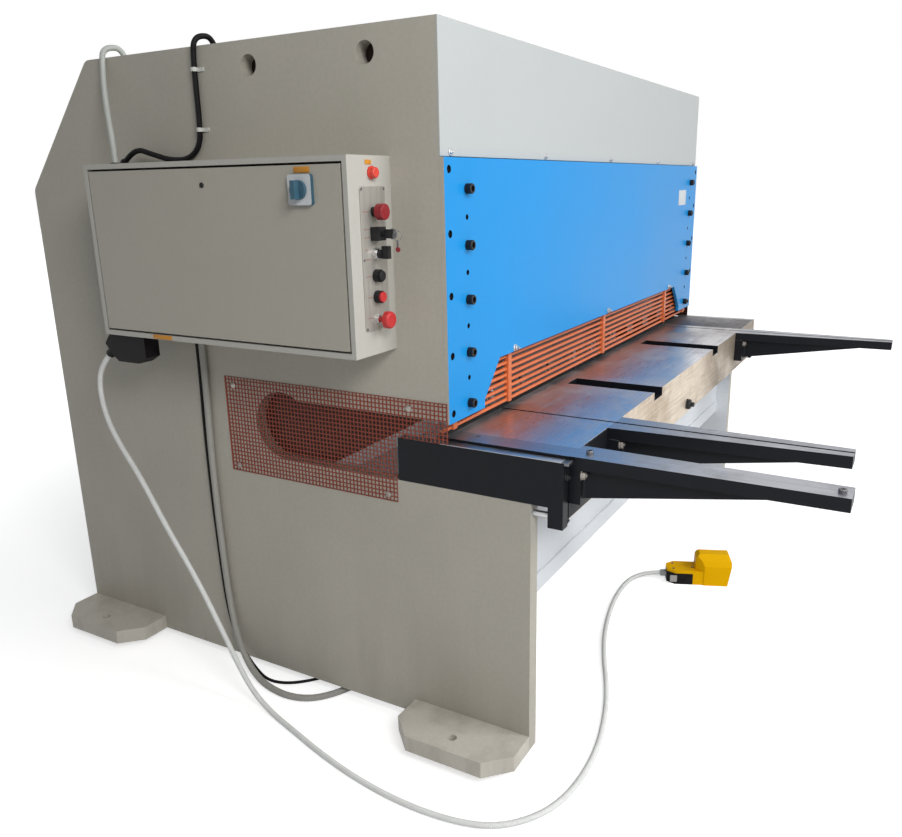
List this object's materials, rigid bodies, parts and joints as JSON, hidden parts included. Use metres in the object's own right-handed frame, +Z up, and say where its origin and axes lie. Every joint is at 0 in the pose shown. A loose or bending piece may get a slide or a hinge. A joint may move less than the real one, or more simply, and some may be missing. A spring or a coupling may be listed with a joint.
{
  "type": "mechanical guillotine shear",
  "caption": "Floor-standing mechanical guillotine shear with welded plate frame, table, support arms, guarded blades, side electrical cabinet and foot switch.",
  "frame": {"origin": "on the floor under the middle of the machine's outline, cables left out", "axes": "+X to the right along the blades seen by the operator, +Y from the operator to the rear, +Z up"},
  "size_m": [2.6441, 2.345, 1.814],
  "materials": {
    "frame_paint": "semi-gloss warm light grey machine paint",
    "cover_paint": "semi-gloss pale grey paint",
    "blue_paint": "semi-gloss bright blue paint",
    "orange_paint": "semi-gloss orange safety paint",
    "black_paint": "satin black paint",
    "ground_steel": "ground bare steel with fine scratches",
    "dark_steel": "oiled dark steel",
    "galvanised": "plain galvanised sheet",
    "satin_metal": "satin control plate",
    "chrome_ring": "bright plated",
    "black_plastic": "moulded black plastic",
    "grey_plastic": "moulded grey plastic",
    "blue_plastic": "moulded blue plastic",
    "red_plastic": "moulded red plastic",
    "yellow_plastic": "moulded yellow plastic",
    "black_rubber": "rubber cable sheath",
    "grey_conduit": "corrugated grey conduit",
    "pale_conduit": "corrugated pale conduit",
    "component_board": "zinc plated plate"
  },
  "bodies": {
    "machine": {"side_plate_left": "frame_paint", "side_plate_right": "frame_paint", "feet_front": "frame_paint", "feet_rear": "frame_paint", "levelling_pads": "dark_steel", "front_panel": "blue_paint", "upper_cover": "cover_paint", "roof_sheet": "frame_paint", "drive_housing": "frame_paint", "blade_beam": "black_paint", "ram_guides": "dark_steel", "upper_blade": "dark_steel", "hold_down": "dark_steel", "finger_guard": "orange_paint", "table": "ground_steel", "bed": "black_paint", "lower_blade": "dark_steel", "squaring_arm": "black_paint", "middle_arm": "black_paint", "end_arm": "black_paint", "apron": "frame_paint", "tie_plate": "frame_paint", "rear_tube": "frame_paint", "sheet_slide": "galvanised", "throat_guard_left": "orange_paint", "throat_guard_right": "orange_paint", "gap_screws": "dark_steel", "cabinet_box": "frame_paint", "component_plate": "component_board", "control_plate": "satin_metal", "control_collars": "black_plastic", "pilot_lamp": "red_plastic", "power_plug": "grey_plastic", "plug_gland": "grey_plastic", "foot_switch_conduit": "grey_conduit", "motor_conduit": "grey_conduit", "sensor_cable": "black_rubber", "black_cable": "black_rubber", "top_conduit": "pale_conduit", "cable_grommets": "black_plastic", "roof_glands": "grey_plastic", "cable_clips": "grey_plastic", "cable_box": "grey_plastic", "pedal_base": "black_plastic", "pedal_hood": "yellow_plastic", "treadle": "black_plastic", "pedal_gland": "black_plastic"},
    "door": {"cabinet_door": "frame_paint", "switch_plate": "black_plastic"},
    "main_switch": {"switch_knob": "blue_plastic"},
    "key": {"key_switch": "chrome_ring"},
    "lever": {"lever_switch": "black_plastic"},
    "black_push": {"black_button": "black_plastic"},
    "red_push": {"red_button": "red_plastic"},
    "reset_push": {"reset_button": "red_plastic"},
    "stop_push": {"stop_button": "red_plastic"}
  },
  "joints": [
    {"name": "door_hinge", "type": "hinge", "parent": "machine", "child": "door", "pos_m": [-1.2315, 0.2855, 1.08], "axis": [0, -1, 0], "range_deg": [0, 95]},
    {"name": "main_switch_turn", "type": "hinge", "parent": "door", "child": "main_switch", "pos_m": [-1.2498, -0.0165, 1.428], "axis": [-1, 0, 0], "range_deg": [0, 90]},
    {"name": "key_turn", "type": "hinge", "parent": "machine", "child": "key", "pos_m": [-1.1515, -0.1655, 1.33], "axis": [0, -1, 0], "range_deg": [0, 90]},
    {"name": "lever_turn", "type": "hinge", "parent": "machine", "child": "lever", "pos_m": [-1.1515, -0.1575, 1.285], "axis": [0, -1, 0], "range_deg": [0, 60]},
    {"name": "black_button_press", "type": "slide", "parent": "machine", "child": "black_push", "axis": [0, 1, 0], "range_m": [0, 0.004], "stiffness_N_per_m": 400},
    {"name": "red_button_press", "type": "slide", "parent": "machine", "child": "red_push", "axis": [0, 1, 0], "range_m": [0, 0.004], "stiffness_N_per_m": 400},
    {"name": "reset_button_press", "type": "slide", "parent": "machine", "child": "reset_push", "axis": [0, 1, 0], "range_m": [0, 0.004], "stiffness_N_per_m": 400},
    {"name": "stop_button_press", "type": "slide", "parent": "machine", "child": "stop_push", "axis": [0, 1, 0], "range_m": [0, 0.004]}
  ]
}
